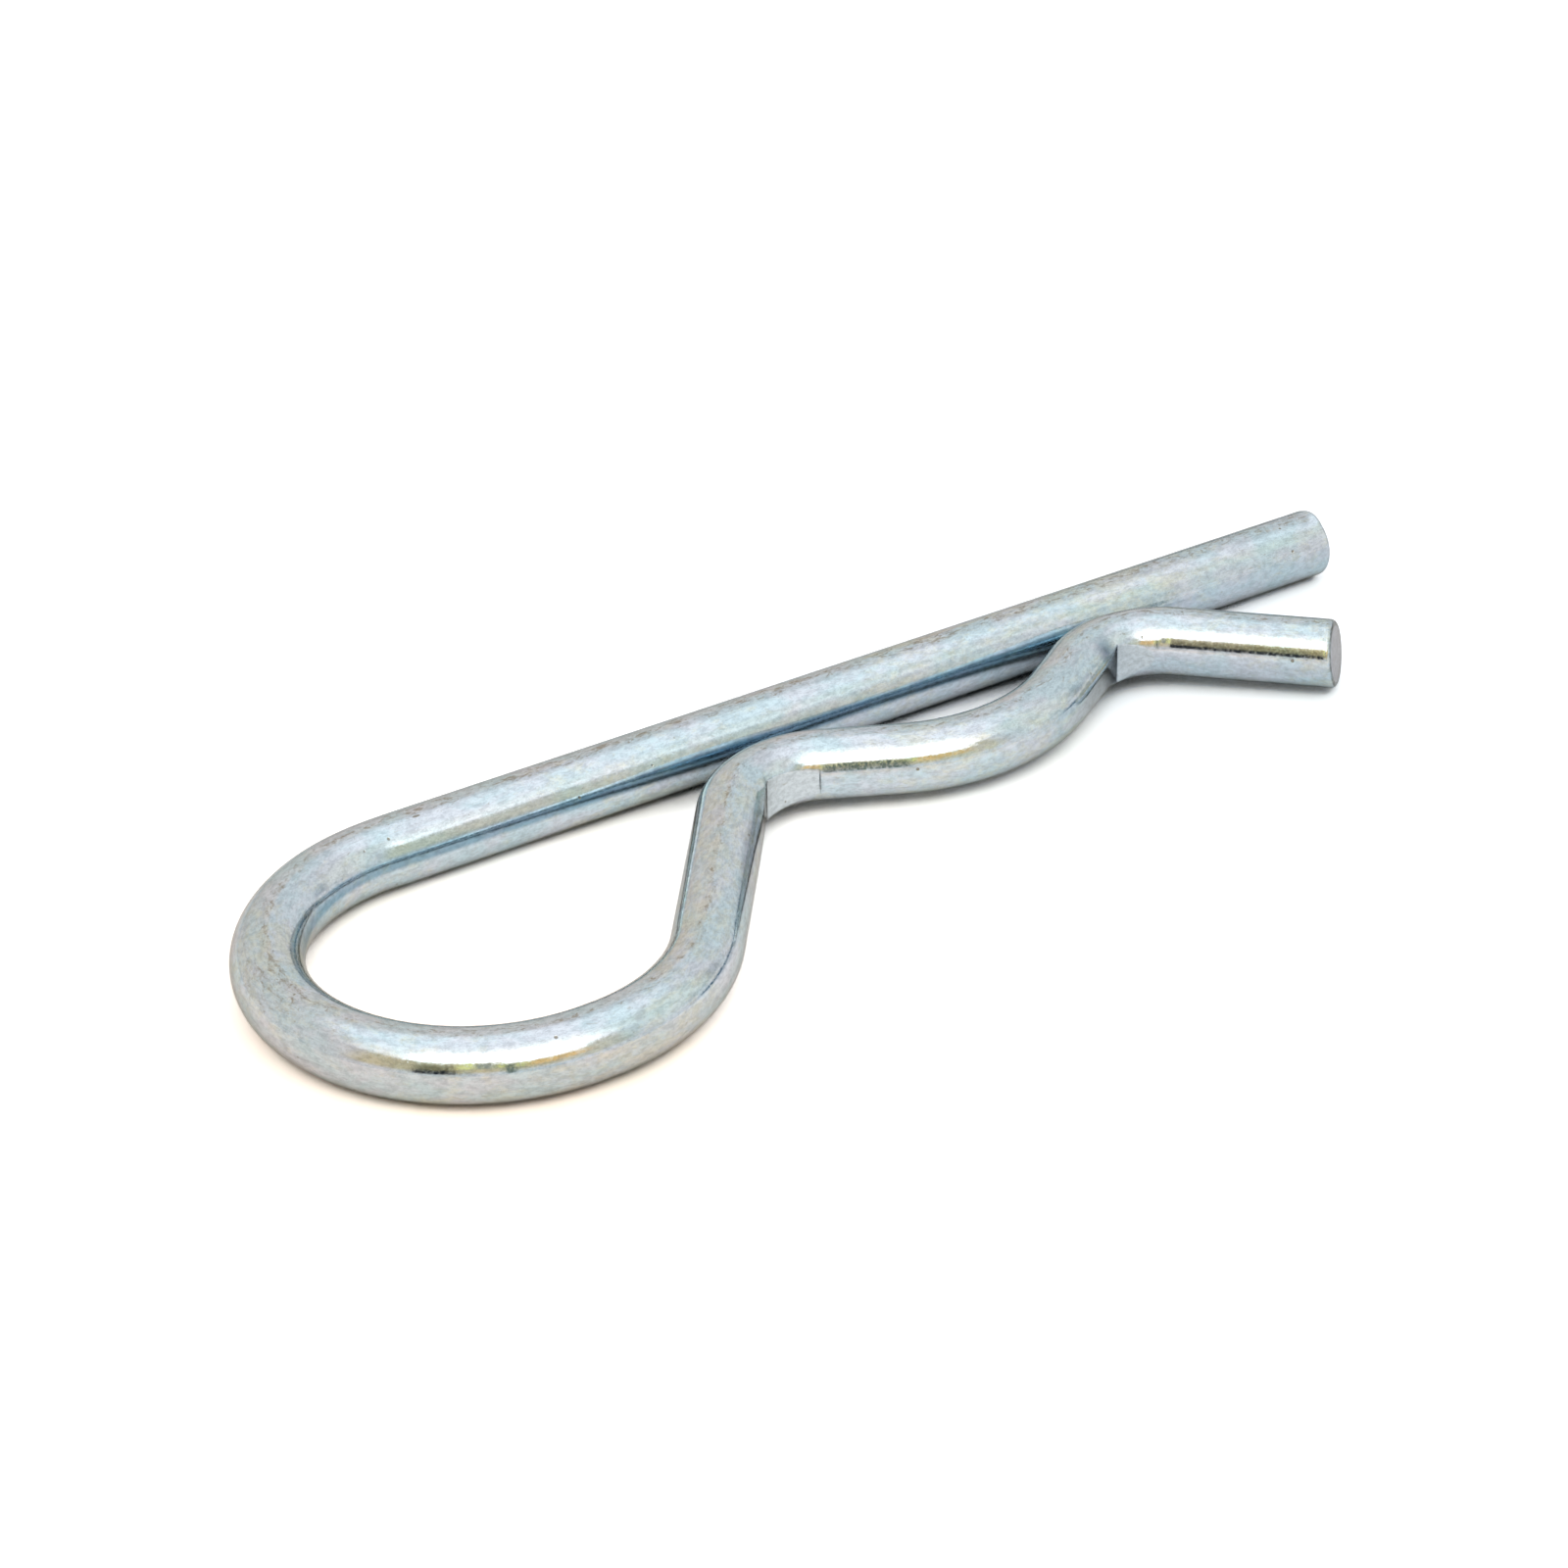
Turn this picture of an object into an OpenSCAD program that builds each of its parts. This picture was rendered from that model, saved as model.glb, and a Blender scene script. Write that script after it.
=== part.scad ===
// Hitch R clip pin (R clip, spring cotter): one length of round spring wire, bent cold.
// Millimetres. The clip lies on its side: the straight leg runs along +X to its tip, the
// loop is at -X, the shaped leg is on the -Y side and +Z is up.

/* [Wire] */
// diameter of the round spring wire
wire_d = 5; // [4:0.1:6]
// radius that rounds the rim of both cut ends
rim_r = 0.6; // [0.1:0.1:1.5]

/* [Straight leg and loop] */
// straight length of the leg, from the end of the loop to the tip
leg_len = 78.5; // [70:0.5:120]
// bend radius of the loop, to the middle of the wire
loop_r = 14.1; // [12.5:0.1:18]
// short straight run at the bottom of the loop, about which the shaped leg leans
loop_flat = 0.6; // [0.4:0.1:3]

/* [Hitch pin] */
// diameter of the hitch pin that the bow grips; its cross hole takes the straight leg
pin_d = 19; // [15:0.5:23]
// how far the relaxed bow stands inside the hitch pin's surface
grip = 0.4; // [0:0.1:1]

/* [Shaped leg] */
// slope of the straight rise out of the loop, in degrees
rise = 53; // [45:1:64]
// gap between the first crest and the straight leg
crest_gap = 2.1; // [1:0.1:3]
// bend radius of the first crest, to the middle of the wire
crest_r = 6.9; // [5.5:0.1:8.4]
// slope of the drop into the bow, in degrees
dip = 26; // [24:1:34]
// bend radius of the bow, to the middle of the wire
bow_r = 14; // [8:0.1:17]
// slope of the climb out of the bow, in degrees
climb = 33.5; // [31:0.5:42]
// gap between the second crest, which is the nip, and the straight leg
nip_gap = 0.85; // [0.85:0.05:2]
// bend radius of the nip, to the middle of the wire
nip_r = 6.5; // [5.5:0.1:8]
// slope of the flared end that leads the hitch pin in, in degrees
flare = 43; // [30:1:55]
// straight length of the flared end
flare_len = 12; // [6:0.5:20]
// how far the shaped leg leans up out of the plane of the loop, in degrees
lean = 1.5; // [0:0.1:4]

/* [Forming marks] */
// angle between the two faces of the punch that formed the crests, in degrees
punch_angle = 135; // [125:1:136]
// depth of the crease that the punch's nose left
punch_depth = 0.55; // [0.4:0.05:0.8]
// how far past its start each crest is creased, in degrees of bend
punch_at = 21; // [14:1:21]
// length of the flat left between the crease and the step after it
punch_len = 3.4; // [2.5:0.1:5]

/* [Hidden] */
$fn = 96;

wire_r = wire_d / 2;
spring_steel = [0.72, 0.76, 0.79];

// how much finer in radius the wire is in a bend, and the length over which a straight run
// tapers into it
neck = 0.02;
taper = 0.4;

// gap to the straight leg at the bottom of the bow
bow_gap = pin_d / 2 - grip - wire_r;

// straight lengths that bring each bend of the shaped leg to its own gap
rise_len = (reach(crest_gap) - drop(loop_r + crest_r, rise)) / sin(rise);
dip_len = (reach(crest_gap) - reach(bow_gap) - drop(crest_r + bow_r, dip)) / sin(dip);
climb_len = (reach(nip_gap) - reach(bow_gap) - drop(bow_r + nip_r, climb)) / sin(climb);

// slope of the punch's faces either side of its nose
facet = (180 - punch_angle) / 2;
// the flat before the crease runs on until it is clear of the wire
facet_run = 3 * wire_d;

// distance across the clip, from the bottom of the loop to where the gap is left
function reach(gap) =
    2 * loop_r * cos(lean) - sqrt(pow(wire_d + gap, 2) - pow(2 * loop_r * sin(lean), 2));

// distance across the clip that a bend uses up as it turns to or from a slope
function drop(radius, slope) = radius * (1 - cos(slope));

// A run of wire along +X. What comes next starts where it ends.
module straight(length) {
    if ($lay == "wire")
        rotate([0, 90, 0])
            rotate_extrude()
                polygon([
                    [0, -taper],
                    [wire_r - 2 * neck, -taper],
                    [wire_r, 0],
                    [wire_r, length],
                    [wire_r - 2 * neck, length + taper],
                    [0, length + taper]
                ]);
    translate([length, 0, 0])
        children();
}

// A bend of the wire, to the left if the turn is above zero. What comes next starts where it ends.
module bend(radius, turn) {
    side = sign(turn);
    translate([0, side * radius, 0]) {
        if ($lay == "wire")
            rotate([0, 0, -side * 90])
                rotate_extrude(angle = turn)
                    translate([radius, 0])
                        circle(r = wire_r - neck);
        rotate([0, 0, turn])
            translate([0, -side * radius, 0])
                children();
    }
}

// A right-hand bend that was formed over the punch.
module crest(radius, turn) {
    if ($lay == "punch")
        translate([0, -radius, 0])
            rotate([0, 0, -punch_at])
                translate([0, radius - wire_r + punch_depth, 0])
                    punch();
    bend(radius, -turn)
        children();
}

// The punch, with its nose at the origin and pointing along +Y.
module punch() {
    translate([0, 0, -wire_d])
        linear_extrude(2 * wire_d)
            polygon([
                [0, 0],
                [-facet_run * cos(facet), -facet_run * sin(facet)],
                [punch_len * cos(facet) - facet_run * sin(facet),
                    -punch_len * sin(facet) - facet_run * cos(facet)],
                [punch_len * cos(facet), -punch_len * sin(facet)]
            ]);
}

// The last run of wire, along +X to a cut end with its rim rounded.
module tail(length) {
    if ($lay == "wire")
        rotate([0, 90, 0])
            rotate_extrude() {
                polygon([
                    [0, -taper],
                    [wire_r - 2 * neck, -taper],
                    [wire_r, 0],
                    [wire_r, length - rim_r],
                    [0, length - rim_r]
                ]);
                translate([0, length - rim_r]) {
                    square([wire_r - rim_r, rim_r]);
                    intersection() {
                        translate([wire_r - rim_r, 0])
                            circle(r = rim_r);
                        square([wire_r, rim_r]);
                    }
                }
            }
}

// The path of the wire, walked both ways from where the straight leg meets the loop. It lays
// down either the wire or the punches that marked it.
module walk() {
    tail(leg_len);
    rotate([0, 0, 180])
        bend(loop_r, 180)
        rotate([lean, 0, 0])
        straight(loop_flat)
        bend(loop_r, rise)
        straight(rise_len)
        crest(crest_r, rise + dip)
        straight(dip_len)
        bend(bow_r, dip + climb)
        straight(climb_len)
        crest(nip_r, climb + flare)
        tail(flare_len);
}

module wire() {
    color(spring_steel)
        translate([-(leg_len - loop_r - wire_r) / 2, loop_r, wire_r])
            difference() {
                walk($lay = "wire");
                walk($lay = "punch");
            }
}

wire();
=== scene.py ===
import bpy
import math
from mathutils import Matrix, Vector


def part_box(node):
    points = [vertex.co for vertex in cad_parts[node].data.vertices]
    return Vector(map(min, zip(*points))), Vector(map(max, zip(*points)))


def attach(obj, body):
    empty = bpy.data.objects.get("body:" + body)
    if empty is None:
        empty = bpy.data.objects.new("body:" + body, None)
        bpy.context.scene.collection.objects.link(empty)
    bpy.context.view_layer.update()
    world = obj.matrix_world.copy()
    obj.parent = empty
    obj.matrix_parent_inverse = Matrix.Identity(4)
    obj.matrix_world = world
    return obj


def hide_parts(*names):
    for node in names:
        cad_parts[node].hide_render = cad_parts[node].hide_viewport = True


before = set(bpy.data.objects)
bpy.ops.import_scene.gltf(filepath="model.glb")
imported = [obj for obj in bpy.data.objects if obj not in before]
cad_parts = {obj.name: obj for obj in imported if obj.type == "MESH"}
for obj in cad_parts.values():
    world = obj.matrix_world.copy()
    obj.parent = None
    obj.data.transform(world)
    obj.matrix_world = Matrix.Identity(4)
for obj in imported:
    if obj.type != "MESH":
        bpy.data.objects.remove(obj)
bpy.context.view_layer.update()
mm = 0.001


def hexToLinear(code):
    # sRGB hex to the linear colour that the shaders take
    channels = [int(code[i:i + 2], 16) / 255 for i in (0, 2, 4)]
    linear = [c / 12.92 if c <= 0.04045 else ((c + 0.055) / 1.055) ** 2.4 for c in channels]
    return (*linear, 1.0)


def addNode(tree, kind, settings=None, links=None):
    # settings and links go by socket name or number, any other setting is a property
    node = tree.nodes.new(kind)
    for name, value in (settings or {}).items():
        if isinstance(name, int) or name in node.inputs:
            continue
        setattr(node, name, value)
    for name, value in (settings or {}).items():
        if isinstance(name, int) or name in node.inputs:
            node.inputs[name].default_value = value
    for name, source in (links or {}).items():
        tree.links.new(source, node.inputs[name])
    return node


# one length of round wire, bent cold; all in mm and degrees
wire = {
    "radius": 2.5,
    "bentRadius": 2.47,       # drawn a hair finer where it is bent
    "rimRadius": 0.35,        # rounded rims of the cut ends
    "rimSteps": 8,
    "brokenEdge": 0.06,       # width of the edge between each rim and its cut face
    "brokenDepth": 0.02,
    "faceRings": (1.7, 1.1),  # how far in from the round the rings of a cut face lie
    "faceStart": 0.1,         # the face's own finish starts this far inside its rim
    "darkRim": 0.3,           # the burr is dark from this share of the rim inwards
    "legLength": 78.5,
    "loopRadius": 14.1,
    "loopFlat": 0.6,
    "lean": 1.5,              # the shaped leg leans up out of the plane of the loop
    "rise": 53.0,
    "crestGap": 2.1,          # from the first crest to the straight leg
    "crestRadius": 6.9,
    "dip": 26.0,
    "hitchPin": 19.0,         # diameter of the shaft that the bow sits on
    "grip": 0.4,              # how far the bow stands inside the shaft's surface
    "bowRadius": 14.0,
    "climb": 33.5,
    "nipGap": 0.85,           # from the second crest, the nip, to the straight leg
    "nipRadius": 6.5,
    "flare": 43.0,
    "flareLength": 12.0,
    "ringStep": 0.32,
    "fineStep": 0.14,
    "pointsRound": 96,
}

# the punch that each crest was bent over left a crease and a flat either side of it
punch = {
    "faceSlope": 22.5,
    "creaseDepth": 0.55,
    "creaseAt": 21.0,         # degrees of bend past the crest's start
    "approach": 12,           # before the bend, the flat runs clear of the wire within this
    "stepWidth": (0.01, 0.03),    # the step where a flat ends: before and after that place
    "stepReach": 0.02,        # the step's dark line takes in rings this near to it
    "ringClearance": 0.05,    # other rings keep this far from the creases and steps
    "shadeGain": 1.6,         # holds the painted shade of a crease at full before it fades out
    # painted shade: shade and shadeLength darken the flat before each crease, hollowWidth and hollowShade
    # a darker patch along the flat's upper edge
    "marks": {
        "crest": {"flatLength": 6.4, "endDepth": 0.15, "shade": 0.7, "shadeLength": 20,
                  "hollowWidth": 1.5, "hollowShade": 0.5},
        "nip": {"flatLength": 4.3, "endDepth": 0.0, "shade": 1.0, "shadeLength": 3.5,
                "hollowWidth": 3.0, "hollowShade": 0.75},
    },
}

# the shears left a small lip on the rim of the straight leg and cut the flared end out of square
lip = {"angle": 82, "width": 26, "height": 0.16, "length": 0.7}
shear = {"slant": 4.0, "tilt": 7.5, "reach": 2.6}


def reach(gap):
    # how far across the clip the shaped leg's wire is when this gap is left to the straight leg
    across = 2 * wire["loopRadius"]
    lean = math.radians(wire["lean"])
    apart = 2 * wire["radius"] + gap
    return across * math.cos(lean) - math.sqrt(apart ** 2 - (across * math.sin(lean)) ** 2)


def slopeLength(height, radii, slope):
    # the straight left between two bends, once they have used up their part of the height
    slope = math.radians(slope)
    return (height - radii * (1 - math.cos(slope))) / math.sin(slope)


def layFrames():
    # a frame for each ring of the wire, from the tip of the straight leg: x along, y left, z up
    crestReach, nipReach = reach(wire["crestGap"]), reach(wire["nipGap"])
    bowReach = reach(wire["hitchPin"] / 2 - wire["grip"] - wire["radius"])
    rise = slopeLength(crestReach, wire["loopRadius"] + wire["crestRadius"], wire["rise"])
    dip = slopeLength(crestReach - bowReach, wire["crestRadius"] + wire["bowRadius"], wire["dip"])
    climb = slopeLength(nipReach - bowReach, wire["bowRadius"] + wire["nipRadius"], wire["climb"])
    # name, length of a straight, radius and turn of a bend
    runs = [
        ("leg", wire["legLength"], 0, 0),
        ("loop", 0, wire["loopRadius"], 180),
        ("lean", wire["loopFlat"], 0, 0),
        ("loopEnd", 0, wire["loopRadius"], wire["rise"]),
        ("rise", rise, 0, 0),
        ("crest", 0, wire["crestRadius"], -wire["rise"] - wire["dip"]),
        ("dip", dip, 0, 0),
        ("bow", 0, wire["bowRadius"], wire["dip"] + wire["climb"]),
        ("climb", climb, 0, 0),
        ("nip", 0, wire["nipRadius"], -wire["climb"] - wire["flare"]),
        ("flare", wire["flareLength"], 0, 0),
    ]
    frames, creases = [], []
    here = Matrix.Translation((wire["legLength"], 0, 0)) @ Matrix.Rotation(math.pi, 4, "Z")
    along = 0.0
    for name, length, radius, turn in runs:
        if name == "lean":
            here = here @ Matrix.Rotation(math.radians(wire["lean"]), 4, "X")
        angle = math.radians(abs(turn))
        side = 1 if turn > 0 else -1
        if turn:
            length = angle * radius
        step = wire["fineStep"] if name in ("crest", "nip") else wire["ringStep"]
        count = max(1, round(length / step))
        stops = [length * i / count for i in range(count)]
        if name in punch["marks"]:
            crease = math.radians(punch["creaseAt"]) * radius
            end = crease + punch["marks"][name]["flatLength"]
            creases.append((name, along, along + crease, radius))
            before, after = punch["stepWidth"]
            sharp = [crease, end - before, end + after]
            clear = punch["ringClearance"]
            stops = sorted(sharp + [s for s in stops if min(abs(s - q) for q in sharp) > clear])
        for s in stops:
            if turn:
                swing = (Matrix.Translation((0, side * radius, 0))
                         @ Matrix.Rotation(side * s / radius, 4, "Z")
                         @ Matrix.Translation((0, -side * radius, 0)))
            else:
                swing = Matrix.Translation((s, 0, 0))
            frames.append((along + s, here @ swing))
        if turn:
            here = (here @ Matrix.Translation((0, side * radius, 0))
                    @ Matrix.Rotation(side * angle, 4, "Z")
                    @ Matrix.Translation((0, -side * radius, 0)))
        else:
            here = here @ Matrix.Translation((length, 0, 0))
        along += length
    frames.append((along, here))
    return frames, creases, along


def pressedDepth(along, creases):
    # how deep the punch's flat lies below the round of the wire
    slope = math.radians(punch["faceSlope"])
    for name, start, crease, bendRadius in creases:
        mark = punch["marks"][name]
        inner = bendRadius - wire["radius"]
        nose = inner + punch["creaseDepth"]
        if crease < along < crease + mark["flatLength"]:
            t = (along - crease) / mark["flatLength"]
            return punch["creaseDepth"] * (1 - t) + mark["endDepth"] * t
        if start < along <= crease:
            back = (crease - along) / bendRadius
            return nose * math.cos(slope) / math.cos(slope - back) - inner
        if start - punch["approach"] < along <= start:
            back = (crease - start) / bendRadius
            atStart = nose * math.cos(slope) / math.cos(slope - back) - inner
            return max(0.0, atStart - (start - along) * math.tan(slope - back))
    return 0.0


def recessShade(along, creases):
    # painted shade: how much the flat before a crease is darkened, fading back from the crease
    for name, _, crease, _ in creases:
        mark = punch["marks"][name]
        if crease - mark["shadeLength"] < along < crease + punch["stepWidth"][0]:
            faded = 1 - (crease - along) / mark["shadeLength"]
            return mark["shade"] * min(1.0, punch["shadeGain"] * faded)
    return 0.0


def bendWire():
    around, rim = wire["pointsRound"], wire["rimRadius"]
    frames, creases, total = layFrames()
    # the cut face, its broken edge and the rounded rim: distance from the end, and how far it
    # draws in from the round of the wire
    edge, faceStart = wire["brokenEdge"], rim + wire["faceStart"]
    end = [(0.0, draw) for draw in wire["faceRings"]]
    end += [(0.0, rim + 2 * edge), (wire["brokenDepth"], rim + edge)]
    for i in range(wire["rimSteps"] + 1):
        a = math.pi / 2 * i / wire["rimSteps"]
        end.append((rim * (1 - math.cos(a)), rim * (1 - math.sin(a))))
    rings = [(d, draw, frames[0][1] @ Matrix.Translation((d, 0, 0))) for d, draw in end]
    for along, here in frames:
        if faceStart < along < total - faceStart:
            rings.append((along, 0.0, here))
    rings += [(total - d, draw, frames[-1][1] @ Matrix.Translation((-d, 0, 0)))
              for d, draw in reversed(end)]

    firstFlat = punch["marks"]["crest"]
    step = creases[0][2] + firstFlat["flatLength"] + punch["stepWidth"][1]
    slant, tilt = (math.tan(math.radians(shear[name])) for name in ("slant", "tilt"))
    points, straight, pressed, paintedCreaseShade, cut, burr = [], [], [], [], [], []
    for along, draw, here in rings:
        # drawn finer over 2 mm, where the straight leg ends
        blend = min(1.0, max(0.0, (along - wire["legLength"] + 1) / 2))
        full = wire["radius"] + (wire["bentRadius"] - wire["radius"]) * blend
        r = full - draw
        depth = pressedDepth(along, creases)
        # painted shade on the flat before each crease
        shade = recessShade(along, creases)
        # the slanting cut is spread over the last rings, in full on the rim and the face
        spread = (shear["reach"] - total + along) / (shear["reach"] - rim)
        spread = min(1.0, max(0.0, spread))
        for j in range(around):
            a = 2 * math.pi * j / around
            y, z = r * math.cos(a), r * math.sin(a)
            if along < lip["length"] and draw < 1:
                # a small lip of metal that the shears pushed up at the leg's tip
                off = (math.degrees(a) - lip["angle"]) / lip["width"]
                z += lip["height"] * max(0.0, 1 - off * off) * (1 - along / lip["length"])
            flat = 1.0 if depth > 0 and y < -(full - depth) else 0.0
            y = max(y, -(full - depth)) if depth > 0 else y
            short = slant * (wire["bentRadius"] - y) + tilt * (wire["bentRadius"] + z)
            points.append(here @ Vector((-short * spread, y, z)))
            straight.append((along, r * math.cos(a), r * math.sin(a)))
            pressed.append(flat)
            paintedCreaseShade.append(flat * shade)
            cut.append(1.0 if draw > faceStart else 0.0)
            onStep = abs(along - step) < punch["stepReach"] and y < -(full - firstFlat["endDepth"])
            onRim = rim * wire["darkRim"] < draw < faceStart
            burr.append(1.0 if onRim or onStep else 0.0)
    faces = []
    for i in range(len(rings) - 1):
        for j in range(around):
            k = (j + 1) % around
            faces.append((i * around + j, i * around + k,
                          (i + 1) * around + k, (i + 1) * around + j))
    first, last = len(points), len(points) + 1
    short = wire["bentRadius"] * (slant + tilt)
    points += [frames[0][1].translation, frames[-1][1] @ Vector((-short, 0, 0))]
    straight += [(0, 0, 0), (total, 0, 0)]
    pressed += [0.0, 0.0]
    paintedCreaseShade += [0.0, 0.0]
    cut += [1.0, 1.0]
    burr += [0.0, 0.0]
    base = (len(rings) - 1) * around
    for j in range(around):
        k = (j + 1) % around
        faces.append((first, k, j))
        faces.append((last, base + j, base + k))
    return points, faces, straight, {"pressedFlat": pressed, "paintedShadeOnFlat": paintedCreaseShade,
                                     "cutFace": cut, "burrLine": burr}


def makeWire():
    low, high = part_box("wire")
    place = Vector((high[0] / mm - wire["legLength"], high[1] / mm - wire["radius"],
                    low[2] / mm + wire["radius"]))
    points, faces, straight, masks = bendWire()
    mesh = bpy.data.meshes.new("clipWire")
    mesh.from_pydata([(p + place) * mm for p in points], [], faces)
    # where each point was on the straight wire, in mm, before it was bent
    drawn = mesh.attributes.new("straightWire", "FLOAT_VECTOR", "POINT")
    drawn.data.foreach_set("vector", [c for p in straight for c in p])
    for name, values in masks.items():
        mask = mesh.attributes.new(name, "FLOAT", "POINT")
        mask.data.foreach_set("value", values)
    mesh.update()
    mesh.shade_smooth()
    piece = bpy.data.objects.new("clipWire", mesh)
    bpy.context.scene.collection.objects.link(piece)
    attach(piece, "root")
    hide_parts("wire")
    print("wire bent:", len(faces), "faces")
    return piece


# Bright zinc electroplate, clear-blue passivated, over hard-drawn spring wire: a pale blue-grey
# metal, finely mottled, with sharp highlights, straw tints and faint lines along the wire.
zinc = {
    "blue": "D3E7F0",
    "lavender": "DEE5EF",
    "straw": "E6E4C9",
    "dim": "DCDDDE",          # multiplies the darker specks of the mottle
    "line": "A3ABAD",
    "fleck": "958C7B",
    "pit": "827B6D",
    "paintedShadeBetweenLegs": "B4CBD9",         # painted shade: multiplies the colour on the sides inside the clip, darker and bluer
    "flat": "DCE5EB",
    "paintedCreaseShade": "AAB1BC",       # painted shade: multiplies the colour in and beside the creases
    "cut": "EAEDF8",
    "burr": "535150",
    "edgeTint": "D6D2CC",     # a metal's slightly darker glance along the rim
    "bright": 0.06,
    "hazy": 0.2,
    "grain": 0.003,           # mm, height of the plate's crystals
    "lines": 0.003,           # mm, depth of the drawing lines
    "pits": 0.02,             # mm
    # the upper outside of the loop's middle rubs as the clips tumble, and has more brown flecks
    "rub": {"angle": 120, "length": 12, "width": 3, "dense": 0.1},
    # small round pits, and nicks 0.2 mm wide and 0.6 mm long: how far each is drawn out, cells to
    # the mm, the share of cells without one, greatest radius and soft edge in cells
    "pitting": [
        {"drawn": 1.0, "scale": 0.85, "bare": 0.72, "radius": 0.13, "edge": 0.05},
        {"drawn": 0.35, "scale": 0.6, "bare": 0.4, "radius": 0.07, "edge": 0.02},
    ],
}


def nearMark(tree, place, along, around, length, width):
    # 1 at the middle of a mark on the wire, 0 outside it
    a = math.radians(around)
    middle = (along, wire["radius"] * math.cos(a), wire["radius"] * math.sin(a))
    offset = addNode(tree, "ShaderNodeVectorMath", {"operation": "SUBTRACT", 1: middle}, {0: place})
    scaled = addNode(tree, "ShaderNodeVectorMath",
                     {"operation": "DIVIDE", 1: (length / 2, width / 2, width / 2)},
                     {0: offset.outputs[0]})
    distance = addNode(tree, "ShaderNodeVectorMath", {"operation": "LENGTH"}, {0: scaled.outputs[0]})
    return addNode(tree, "ShaderNodeMapRange",
                   {"interpolation_type": "SMOOTHSTEP", "From Min": 1.0, "From Max": 0.35},
                   {"Value": distance.outputs["Value"]}).outputs[0]


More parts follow.
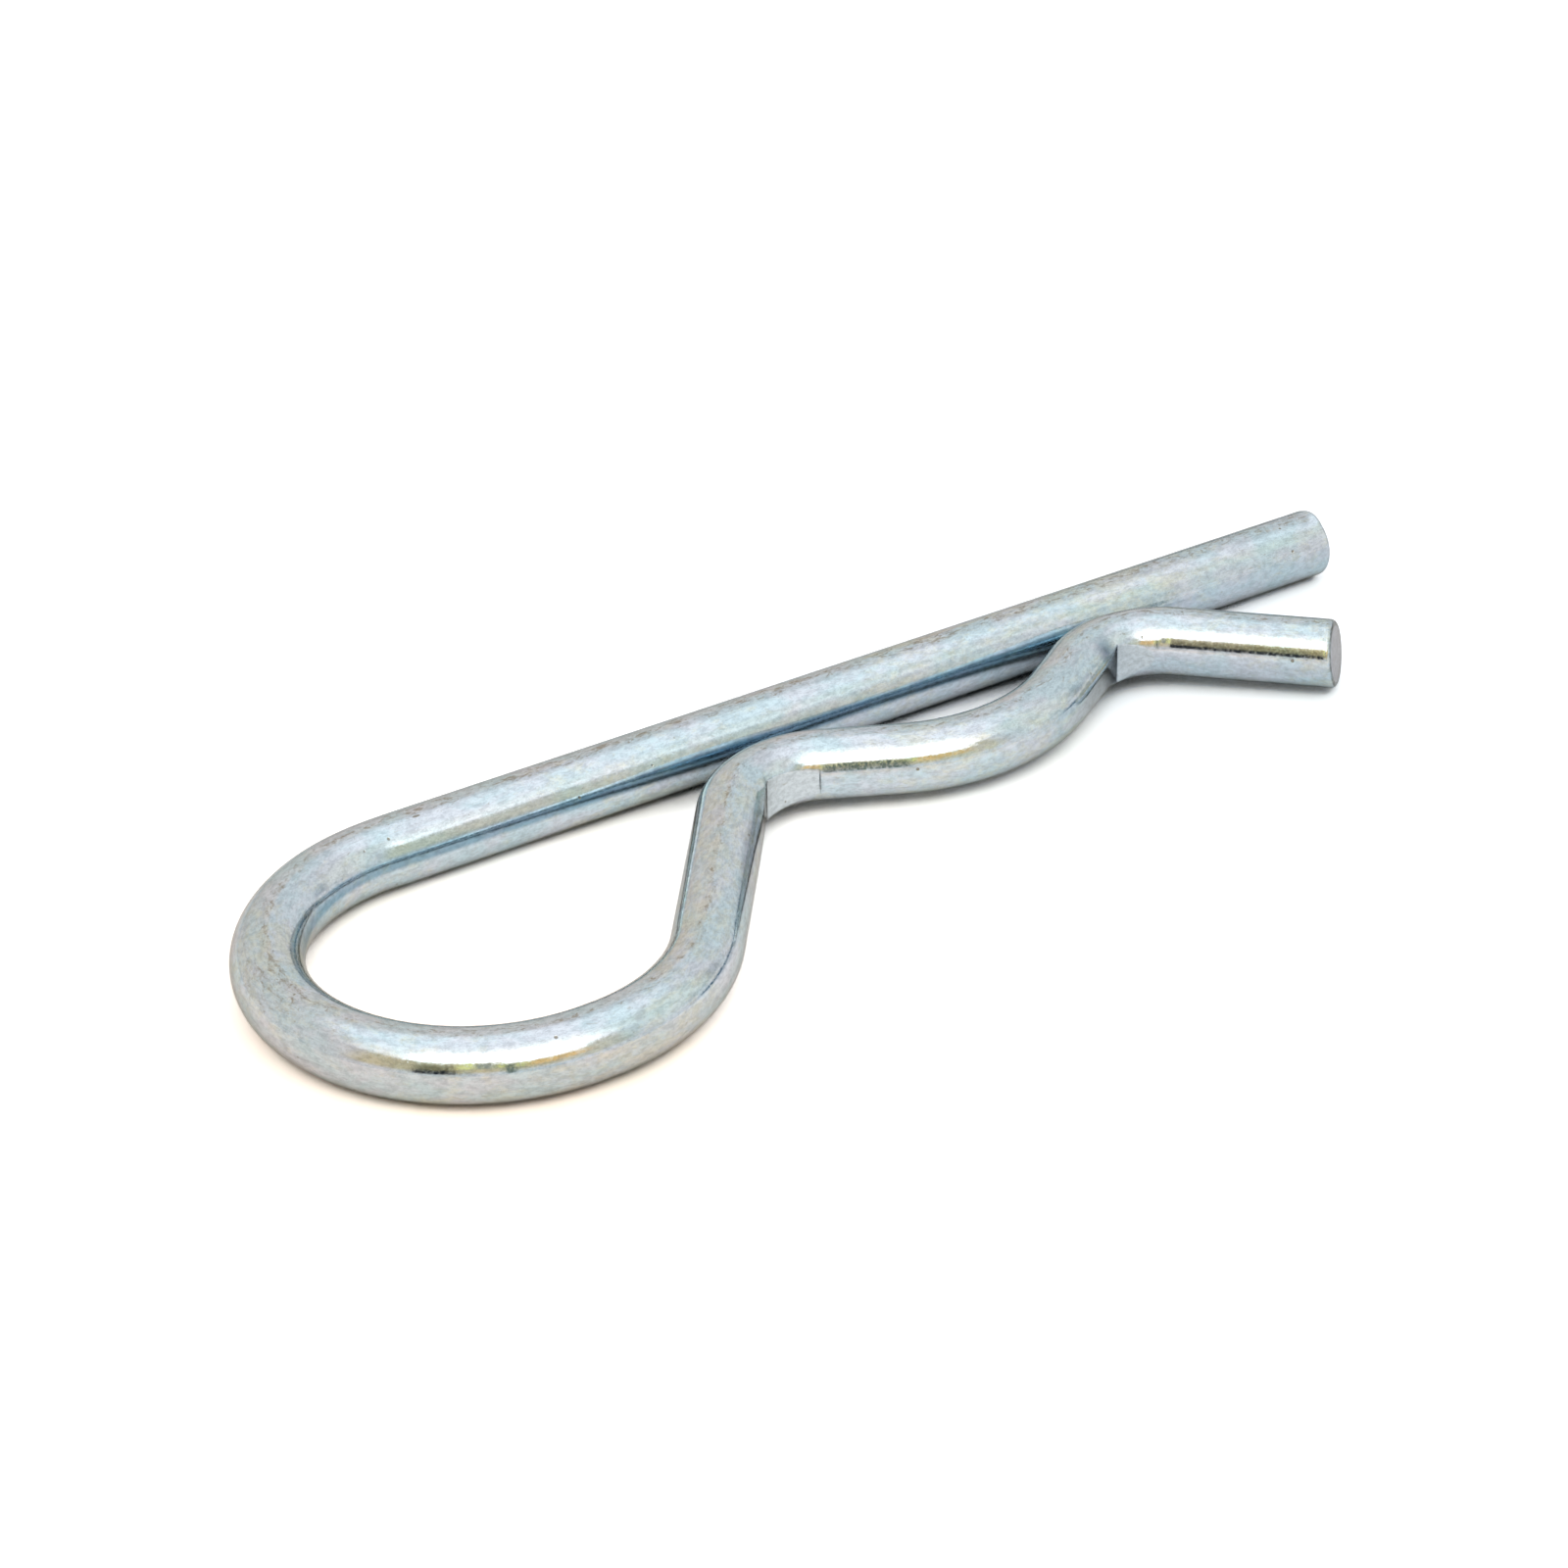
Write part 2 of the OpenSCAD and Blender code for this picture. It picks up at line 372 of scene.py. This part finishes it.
def makeZinc():
    material = bpy.data.materials.new("zincPlatedSpringSteel")
    material.use_nodes = True
    tree = material.node_tree
    tree.nodes.clear()
    place = addNode(tree, "ShaderNodeAttribute", {"attribute_name": "straightWire"}).outputs["Vector"]
    flat = addNode(tree, "ShaderNodeAttribute", {"attribute_name": "pressedFlat"}).outputs["Fac"]
    paintedCreaseShade = addNode(tree, "ShaderNodeAttribute", {"attribute_name": "paintedShadeOnFlat"}).outputs["Fac"]
    cut = addNode(tree, "ShaderNodeAttribute", {"attribute_name": "cutFace"}).outputs["Fac"]
    burr = addNode(tree, "ShaderNodeAttribute", {"attribute_name": "burrLine"}).outputs["Fac"]

    # passivate clouds, 2 to 4 mm
    drift = addNode(tree, "ShaderNodeMapping", {"Scale": (0.55, 1, 1)}, {"Vector": place})
    clouds = addNode(tree, "ShaderNodeTexNoise",
                     {"Scale": 0.45, "Detail": 5.0, "Roughness": 0.6, "Distortion": 0.3},
                     {"Vector": drift.outputs[0]})
    blueToLavender = addNode(tree, "ShaderNodeMapRange", {"From Min": 0.4, "From Max": 0.6},
                             {"Value": clouds.outputs[0]})
    colour = addNode(tree, "ShaderNodeMix",
                     {"data_type": "RGBA", 6: hexToLinear(zinc["blue"]), 7: hexToLinear(zinc["lavender"])},
                     {0: blueToLavender.outputs[0]}).outputs[2]

    # straw tints: specks of about 0.5 mm that gather in patches
    tints = addNode(tree, "ShaderNodeTexNoise",
                    {"Scale": 1.3, "Detail": 6.0, "Roughness": 0.75, "Distortion": 0.3},
                    {"Vector": drift.outputs[0]})
    patches = addNode(tree, "ShaderNodeTexNoise", {"Scale": 0.16, "Detail": 2.0, "Roughness": 0.5},
                      {"Vector": drift.outputs[0]})
    gathered = addNode(tree, "ShaderNodeMath", {"operation": "MULTIPLY_ADD", 1: 0.6},
                       {0: patches.outputs[0], 2: tints.outputs[0]})
    straw = addNode(tree, "ShaderNodeMapRange", {"From Min": 0.8, "From Max": 0.96, "To Max": 0.4},
                    {"Value": gathered.outputs[0]})
    colour = addNode(tree, "ShaderNodeMix", {"data_type": "RGBA", 7: hexToLinear(zinc["straw"])},
                     {0: straw.outputs[0], 6: colour}).outputs[2]

    # the punch's flats and the cut faces are cleaner, and shade is painted in and beside the creases
    colour = addNode(tree, "ShaderNodeMix", {"data_type": "RGBA", 7: hexToLinear(zinc["flat"])},
                     {0: flat, 6: colour}).outputs[2]
    # painted shade runs back from each crease along the upper edge of its flat
    flatEdge = 180 - math.degrees(math.acos(1 - punch["creaseDepth"] / wire["radius"]))
    for name, _, crease, _ in layFrames()[1]:
        mark = punch["marks"][name]
        creaseShadeSpot = nearMark(tree, place, crease - mark["shadeLength"] / 2, flatEdge,
                        mark["shadeLength"], mark["hollowWidth"])
        near = addNode(tree, "ShaderNodeMath", {"operation": "MULTIPLY", 1: mark["hollowShade"]},
                       {0: creaseShadeSpot})
        paintedCreaseShade = addNode(tree, "ShaderNodeMath", {"operation": "MAXIMUM"},
                         {0: paintedCreaseShade, 1: near.outputs[0]}).outputs[0]
    colour = addNode(tree, "ShaderNodeMix",
                     {"data_type": "RGBA", "blend_type": "MULTIPLY", 7: hexToLinear(zinc["paintedCreaseShade"])},
                     {0: paintedCreaseShade, 6: colour}).outputs[2]
    colour = addNode(tree, "ShaderNodeMix", {"data_type": "RGBA", 7: hexToLinear(zinc["cut"])},
                     {0: cut, 6: colour}).outputs[2]

    # painted shade, darker and bluer, on the side that faces the other leg and the inside of the loop
    parts = addNode(tree, "ShaderNodeSeparateXYZ", links={0: place})
    edges = [
        (parts.outputs[1], 0.88 * wire["radius"], 0.985 * wire["radius"]),    # inner side
        (parts.outputs[2], -0.06 * wire["radius"], 0.1 * wire["radius"]),     # above the middle
        (parts.outputs[0], 14.0, 34.0),       # not at the leg's tip
        (parts.outputs[0], 200.0, 190.0),     # nor at the flared end
    ]
    paintedShadeBetweenLegs = None
    for value, start, end in edges:
        edge = addNode(tree, "ShaderNodeMapRange",
                       {"interpolation_type": "SMOOTHSTEP", "From Min": start, "From Max": end},
                       {"Value": value}).outputs[0]
        if paintedShadeBetweenLegs is not None:
            edge = addNode(tree, "ShaderNodeMath", {"operation": "MULTIPLY"},
                           {0: paintedShadeBetweenLegs, 1: edge}).outputs[0]
        paintedShadeBetweenLegs = edge
    colour = addNode(tree, "ShaderNodeMix",
                     {"data_type": "RGBA", "blend_type": "MULTIPLY", 7: hexToLinear(zinc["paintedShadeBetweenLegs"])},
                     {0: paintedShadeBetweenLegs, 6: colour}).outputs[2]

    # fine mottle, 0.2 to 0.4 mm, drawn a little coarser than the real plate's so that it shows
    specks = addNode(tree, "ShaderNodeTexNoise",
                     {"Scale": 2.8, "Detail": 6.0, "Roughness": 0.8, "Distortion": 0.2},
                     {"Vector": drift.outputs[0]})
    mottle = addNode(tree, "ShaderNodeMapRange", {"From Min": 0.42, "From Max": 0.62},
                     {"Value": specks.outputs[0]})
    colour = addNode(tree, "ShaderNodeMix",
                     {"data_type": "RGBA", "blend_type": "MULTIPLY", 7: hexToLinear(zinc["dim"])},
                     {0: mottle.outputs[0], 6: colour}).outputs[2]

    # drawing lines, about 0.2 mm apart and 3 to 6 mm long
    drawnOut = addNode(tree, "ShaderNodeMapping", {"Scale": (0.06, 1, 1)}, {"Vector": place})
    lines = addNode(tree, "ShaderNodeTexNoise",
                    {"Scale": 4.0, "Detail": 3.0, "Roughness": 0.6, "Distortion": 0.2},
                    {"Vector": drawnOut.outputs[0]})
    lineMask = addNode(tree, "ShaderNodeMapRange", {"From Min": 0.6, "From Max": 0.78, "To Max": 0.35},
                       {"Value": lines.outputs[0]})
    colour = addNode(tree, "ShaderNodeMix", {"data_type": "RGBA", 7: hexToLinear(zinc["line"])},
                     {0: lineMask.outputs[0], 6: colour}).outputs[2]

    # brown flecks, 0.2 to 0.6 mm: sparse all over, denser along the top and where the wire rubbed
    dense = addNode(tree, "ShaderNodeMapRange",
                    {"interpolation_type": "SMOOTHSTEP", "From Min": 0.955 * wire["radius"],
                     "From Max": 0.998 * wire["radius"], "To Max": 0.13},
                    {"Value": parts.outputs[2]}).outputs[0]
    loopMiddle = wire["legLength"] + math.pi / 2 * wire["loopRadius"]
    rub = zinc["rub"]
    near = nearMark(tree, place, loopMiddle, rub["angle"], rub["length"], rub["width"])
    dense = addNode(tree, "ShaderNodeMath", {"operation": "MULTIPLY_ADD", 1: rub["dense"]},
                    {0: near, 2: dense}).outputs[0]
    fleckPlace = addNode(tree, "ShaderNodeMapping", {"Scale": (0.45, 1, 1)}, {"Vector": place})
    flecks = addNode(tree, "ShaderNodeTexNoise",
                     {"Scale": 2.6, "Detail": 5.0, "Roughness": 0.8, "Distortion": 0.6},
                     {"Vector": fleckPlace.outputs[0]})
    fleck = addNode(tree, "ShaderNodeMath", {"operation": "ADD"}, {0: flecks.outputs[0], 1: dense})
    fleckMask = addNode(tree, "ShaderNodeMapRange", {"From Min": 0.62, "From Max": 0.72, "To Max": 0.75},
                        {"Value": fleck.outputs[0]})
    colour = addNode(tree, "ShaderNodeMix", {"data_type": "RGBA", 7: hexToLinear(zinc["fleck"])},
                     {0: fleckMask.outputs[0], 6: colour}).outputs[2]

    broken = addNode(tree, "ShaderNodeMapRange", {"From Min": 0.3, "From Max": 0.62, "To Max": 0.9},
                     {"Value": specks.outputs[0]})
    burrMask = addNode(tree, "ShaderNodeMath", {"operation": "MULTIPLY"}, {0: burr, 1: broken.outputs[0]})
    colour = addNode(tree, "ShaderNodeMix", {"data_type": "RGBA", 7: hexToLinear(zinc["burr"])},
                     {0: burrMask.outputs[0], 6: colour}).outputs[2]

    # pits, up to 0.15 mm, and nicks, each in a share of the cells
    pitMask = None
    for kind in zinc["pitting"]:
        drawn = addNode(tree, "ShaderNodeMapping", {"Scale": (kind["drawn"], 1, 1)}, {"Vector": place})
        cells = addNode(tree, "ShaderNodeTexVoronoi", {"Scale": kind["scale"], "Randomness": 1.0},
                        {"Vector": drawn.outputs[0]})
        pick = addNode(tree, "ShaderNodeSeparateColor", links={"Color": cells.outputs["Color"]})
        size = addNode(tree, "ShaderNodeMapRange",
                       {"From Min": kind["bare"], "From Max": 1.0, "To Max": kind["radius"]},
                       {"Value": pick.outputs[0]})
        inside = addNode(tree, "ShaderNodeMath", {"operation": "SUBTRACT"},
                         {0: size.outputs[0], 1: cells.outputs["Distance"]})
        marked = addNode(tree, "ShaderNodeMapRange",
                         {"From Min": 0.0, "From Max": kind["edge"], "To Max": 0.85},
                         {"Value": inside.outputs[0]}).outputs[0]
        if pitMask is not None:
            marked = addNode(tree, "ShaderNodeMath", {"operation": "MAXIMUM"},
                             {0: pitMask, 1: marked}).outputs[0]
        pitMask = marked
    colour = addNode(tree, "ShaderNodeMix", {"data_type": "RGBA", 7: hexToLinear(zinc["pit"])},
                     {0: pitMask, 6: colour}).outputs[2]

    # the plate's crystals: 0.2 mm grains, some bright and some hazy
    grains = addNode(tree, "ShaderNodeTexNoise", {"Scale": 4.5, "Detail": 3.0, "Roughness": 0.6},
                     {"Vector": place})
    haze = addNode(tree, "ShaderNodeMapRange",
                   {"From Min": 0.4, "From Max": 0.62, "To Min": zinc["bright"], "To Max": zinc["hazy"]},
                   {"Value": grains.outputs[0]})
    grainHeight = addNode(tree, "ShaderNodeMath", {"operation": "MULTIPLY", 1: zinc["grain"]},
                          {0: grains.outputs[0]})
    lineHeight = addNode(tree, "ShaderNodeMath", {"operation": "MULTIPLY_ADD", 1: -zinc["lines"]},
                         {0: lineMask.outputs[0], 2: grainHeight.outputs[0]})
    pitHeight = addNode(tree, "ShaderNodeMath", {"operation": "MULTIPLY_ADD", 1: -zinc["pits"]},
                        {0: pitMask, 2: lineHeight.outputs[0]})
    relief = addNode(tree, "ShaderNodeBump", {"Strength": 1.0, "Distance": mm},
                     {"Height": pitHeight.outputs[0]})

    shader = addNode(tree, "ShaderNodeBsdfPrincipled",
                     {"Metallic": 1.0, "Specular Tint": hexToLinear(zinc["edgeTint"])},
                     {"Base Color": colour, "Roughness": haze.outputs[0], "Normal": relief.outputs[0]})
    addNode(tree, "ShaderNodeOutputMaterial", links={"Surface": shader.outputs[0]})
    return material


clip = makeWire()
clip.data.materials.append(makeZinc())
print("zinc plated")

# the studio: a white table under a light tent, with a gap on the camera's side for the lens
studio = {
    "radius": 3.0,
    "front": -120.9,          # heading from the clip to the gap in the tent
    "level": 0.88,            # a colour on the table renders about as it is written
    "table": (0.80, 0.82, 0.85),
    # painted light: the table's colour is tinted warm at the near left, plain in the middle and cooler and
    # darker at the far right
    "warm": (0.96, 0.86, 0.79),
    "plain": (1.01, 0.98, 0.97),
    "cool": (0.775, 0.79, 0.82),
    "seenWhite": 1.82,        # the table shows as pure white, with the clip's shadow on it
    "mirroredWhite": 1.1,     # and white in the metal
    "shadeDistance": 12,      # mm that the shade under the wire reaches
    # from and to of how open the place is, and of the light that is left there
    "deepShade": (0.1, 0.3, 0.02, 1.3),
    "thinShade": (0.3, 0.75, 1.0, 0.77),
}


def makeTable():
    mesh = bpy.data.meshes.new("table")
    n = 96
    mesh.from_pydata([(studio["radius"] * math.cos(2 * math.pi * i / n),
                       studio["radius"] * math.sin(2 * math.pi * i / n), 0) for i in range(n)],
                     [], [tuple(range(n))])
    table = bpy.data.objects.new("table", mesh)
    bpy.context.scene.collection.objects.link(table)
    material = bpy.data.materials.new("whiteCard")
    material.use_nodes = True
    tree = material.node_tree
    tree.nodes.clear()
    # painted shade: the table's colour darkens by how enclosed each spot is, deep where the wire touches
    # and thinning out quickly
    clear = addNode(tree, "ShaderNodeAmbientOcclusion",
                    {"samples": 4, "Distance": studio["shadeDistance"] * mm}).outputs["AO"]
    steps = []
    for name, curve in (("deepShade", "SMOOTHSTEP"), ("thinShade", "LINEAR")):
        fromMin, fromMax, toMin, toMax = studio[name]
        steps.append(addNode(tree, "ShaderNodeMapRange",
                             {"interpolation_type": curve, "From Min": fromMin, "From Max": fromMax,
                              "To Min": toMin, "To Max": toMax},
                             {"Value": clear}).outputs[0])
    shade = addNode(tree, "ShaderNodeMath", {"operation": "MULTIPLY"}, {0: steps[0], 1: steps[1]})
    # painted light: the table's colour is warm at the near left and a little darker and cooler at the far
    # right
    spot = addNode(tree, "ShaderNodeNewGeometry")
    diagonal = addNode(tree, "ShaderNodeVectorMath", {"operation": "DOT_PRODUCT", 1: (1, 1, 0)},
                       {0: spot.outputs["Position"]}).outputs["Value"]
    paintedLightTint = studio["warm"]
    for name, start, end in (("plain", -45 * mm, -8 * mm), ("cool", 0.0, 30 * mm)):
        toNext = addNode(tree, "ShaderNodeMapRange", {"From Min": start, "From Max": end},
                         {"Value": diagonal})
        settings, links = {"data_type": "RGBA", 7: (*studio[name], 1)}, {0: toNext.outputs[0]}
        if isinstance(paintedLightTint, tuple):
            settings[6] = (*paintedLightTint, 1)
        else:
            links[6] = paintedLightTint
        paintedLightTint = addNode(tree, "ShaderNodeMix", settings, links).outputs[2]
    path = addNode(tree, "ShaderNodeLightPath")
    mirrored = addNode(tree, "ShaderNodeMath", {"operation": "MAXIMUM"},
                       {0: path.outputs["Is Glossy Ray"], 1: path.outputs["Is Transmission Ray"]})
    white = addNode(tree, "ShaderNodeMix",
                    {"data_type": "RGBA", 6: (*studio["table"], 1),
                     7: (*[c * studio["mirroredWhite"] for c in studio["table"]], 1)},
                    {0: mirrored.outputs[0]})
    white = addNode(tree, "ShaderNodeMix",
                    {"data_type": "RGBA", 7: (*[c * studio["seenWhite"] for c in studio["table"]], 1)},
                    {0: path.outputs["Is Camera Ray"], 6: white.outputs[2]})
    # painted light: the tint multiplies the table's white
    tinted = addNode(tree, "ShaderNodeVectorMath", {"operation": "MULTIPLY"},
                     {0: white.outputs[2], 1: paintedLightTint})
    shaded = addNode(tree, "ShaderNodeVectorMath", {"operation": "SCALE"},
                     {0: tinted.outputs[0], "Scale": shade.outputs[0]})
    card = addNode(tree, "ShaderNodeBsdfDiffuse", links={"Color": shaded.outputs[0]})
    addNode(tree, "ShaderNodeOutputMaterial", links={"Surface": card.outputs[0]})
    mesh.materials.append(material)


def makeTent():
    mesh = bpy.data.meshes.new("lightTent")
    rows, columns = 24, 96
    radius = studio["radius"]
    points = [(radius * math.cos(math.pi / 2 * i / rows) * math.cos(2 * math.pi * j / columns),
               radius * math.cos(math.pi / 2 * i / rows) * math.sin(2 * math.pi * j / columns),
               radius * math.sin(math.pi / 2 * i / rows))
              for i in range(rows) for j in range(columns)]
    faces = [(i * columns + j, i * columns + (j + 1) % columns,
              (i + 1) * columns + (j + 1) % columns, (i + 1) * columns + j)
             for i in range(rows - 1) for j in range(columns)]
    faces += [((rows - 1) * columns + j, (rows - 1) * columns + (j + 1) % columns, len(points))
              for j in range(columns)]
    mesh.from_pydata(points + [(0, 0, radius)], [], faces)
    tent = bpy.data.objects.new("lightTent", mesh)
    bpy.context.scene.collection.objects.link(tent)
    tent.visible_camera = False

    material = bpy.data.materials.new("tentCloth")
    material.use_nodes = True
    material.cycles.emission_sampling = "NONE"
    tree = material.node_tree
    tree.nodes.clear()
    place = addNode(tree, "ShaderNodeNewGeometry")
    # turned so that the gap is along +Y, and its right as seen from the camera along +X
    turned = addNode(tree, "ShaderNodeVectorRotate",
                     {"rotation_type": "Z_AXIS", "Angle": math.radians(90 - studio["front"])},
                     {"Vector": place.outputs["Position"]})
    heading = addNode(tree, "ShaderNodeVectorMath", {"operation": "NORMALIZE"}, {0: turned.outputs[0]})
    parts = addNode(tree, "ShaderNodeSeparateXYZ", links={0: heading.outputs[0]})
    across = addNode(tree, "ShaderNodeMath", {"operation": "MULTIPLY", 1: -1.0}, {0: parts.outputs[0]})
    azimuth = addNode(tree, "ShaderNodeMath", {"operation": "ARCTAN2"},
                      {0: across.outputs[0], 1: parts.outputs[1]})
    azimuth = addNode(tree, "ShaderNodeMath", {"operation": "DEGREES"}, {0: azimuth.outputs[0]}).outputs[0]
    height = addNode(tree, "ShaderNodeMath", {"operation": "ARCSINE"}, {0: parts.outputs[2]})
    height = addNode(tree, "ShaderNodeMath", {"operation": "DEGREES"}, {0: height.outputs[0]}).outputs[0]

    # each panel: colour, and (from, to) edges in degrees for bottom, top, left and right
    panels = [
        ((0.93, 0.93, 0.92, 1), None, None, (-60, 60), None),    # right wall, over the left one
        ((1.26, 1.28, 1.28, 1), (46, 62), None, None, None),    # roof
        ((0.20, 0.26, 0.36, 1), (8, 13), (31, 25), (86, 94), (124, 114)),    # doorway
        # the room seen through the gap, with its lamps and the dark of the camera
        ((0.84, 0.80, 0.62, 1), (5, 12), (44, 34), (26, 40), (70, 52)),
        ((0.82, 0.68, 0.42, 1), (6, 14), (50, 42), (-66, -52), (44, 28)),
        ((0.34, 0.29, 0.17, 1), (14, 18), (38, 26), (-34, -28), (-12, -15)),
        ((1.15, 1.08, 0.42, 1), (20, 22), (40, 36), (-13, -11), (-4, -6)),
        ((0.45, 0.45, 0.36, 1), (20, 22), (38, 34), (-5, -4), (5, 4)),
        ((1.15, 1.08, 0.38, 1), (20, 22), (36, 32), (5, 6), (9, 8)),
        ((0.20, 0.24, 0.19, 1), (2, 5), (31, 28), (8, 9.5), (14.5, 13)),
        ((1.15, 1.10, 0.40, 1), (18, 20), (31, 28), (13, 15), (19, 17)),
        ((1.12, 0.74, 0.32, 1), (16, 19), (34, 28), (17, 20), (50, 40)),
        ((0.03, 0.035, 0.04, 1), (5, 7), (20, 15), (-32, -28), (-10, -13)),
        ((0.09, 0.18, 0.25, 1), None, (4.5, 3), (92, 104), None),    # far edge of the table
        ((1.62, 1.57, 1.47, 1), (37, 46), (90, 62), (-90, -40), (92, 54)),    # glow around the softbox
        ((1.03, 1.04, 0.95, 1), (2, 20), (62, 48), (66, 84), (130, 100)),    # pale corner of the tent
        ((2.8, 2.74, 2.58, 1), (37, 40), (74, 52), (-50, -28), (66, 42)),    # softbox
        ((2.8, 2.74, 2.58, 1), (30, 32.5), (48, 44), (7, 9), (52, 42)),    # and its lower corner
    ]
    colour = (0.93, 0.87, 0.81, 1)        # left wall
    for panel, bottom, top, left, right in panels:
        mask = None
        for edge, value in ((bottom, height), (top, height), (left, azimuth), (right, azimuth)):
            if edge is None:
                continue
            step = addNode(tree, "ShaderNodeMapRange",
                           {"interpolation_type": "SMOOTHSTEP", "From Min": edge[0], "From Max": edge[1]},
                           {"Value": value}).outputs[0]
            if mask is not None:
                step = addNode(tree, "ShaderNodeMath", {"operation": "MULTIPLY"},
                               {0: mask, 1: step}).outputs[0]
            mask = step
        settings, links = {"data_type": "RGBA", 7: panel}, {0: mask}
        if isinstance(colour, tuple):
            settings[6] = colour
        else:
            links[6] = colour
        colour = addNode(tree, "ShaderNodeMix", settings, links).outputs[2]
    glow = addNode(tree, "ShaderNodeEmission", {"Strength": studio["level"]}, {"Color": colour})
    addNode(tree, "ShaderNodeOutputMaterial", links={"Surface": glow.outputs[0]})
    mesh.materials.append(material)


makeTable()
makeTent()
world = bpy.data.worlds.new("paleStudio")
bpy.context.scene.world = world
world.use_nodes = True
world.node_tree.nodes["Background"].inputs[0].default_value = (1, 1, 1, 1)
world.node_tree.nodes["Background"].inputs[1].default_value = 1.0
world.cycles.sampling_method = "NONE"
print("studio lit")

# product view from the front left, from about 60 wire diameters away
viewpoint = {
    "target": (-4.0, 6.34, 2.5),
    "azimuth": -30.887,
    "elevation": 30.18,
    "roll": -2.21,
    "distance": 310.0,
    "lens": 103.5,
}


def setCamera():
    data = bpy.data.cameras.new("camera")
    data.lens = viewpoint["lens"]
    data.sensor_width = 36
    data.clip_start = 0.01
    camera = bpy.data.objects.new("camera", data)
    bpy.context.scene.collection.objects.link(camera)
    a, e = math.radians(viewpoint["azimuth"]), math.radians(viewpoint["elevation"])
    back = Vector((math.sin(a) * math.cos(e), -math.cos(a) * math.cos(e), math.sin(e)))
    right = Vector((math.cos(a), math.sin(a), 0))
    up = back.cross(right)
    turn = (Matrix((right, up, back)).transposed()
            @ Matrix.Rotation(math.radians(viewpoint["roll"]), 3, "Z"))
    spot = (Vector(viewpoint["target"]) + back * viewpoint["distance"]) * mm
    camera.matrix_world = Matrix.Translation(spot) @ turn.to_4x4()
    bpy.context.scene.camera = camera


setCamera()
bpy.context.scene.view_settings.view_transform = "Standard"
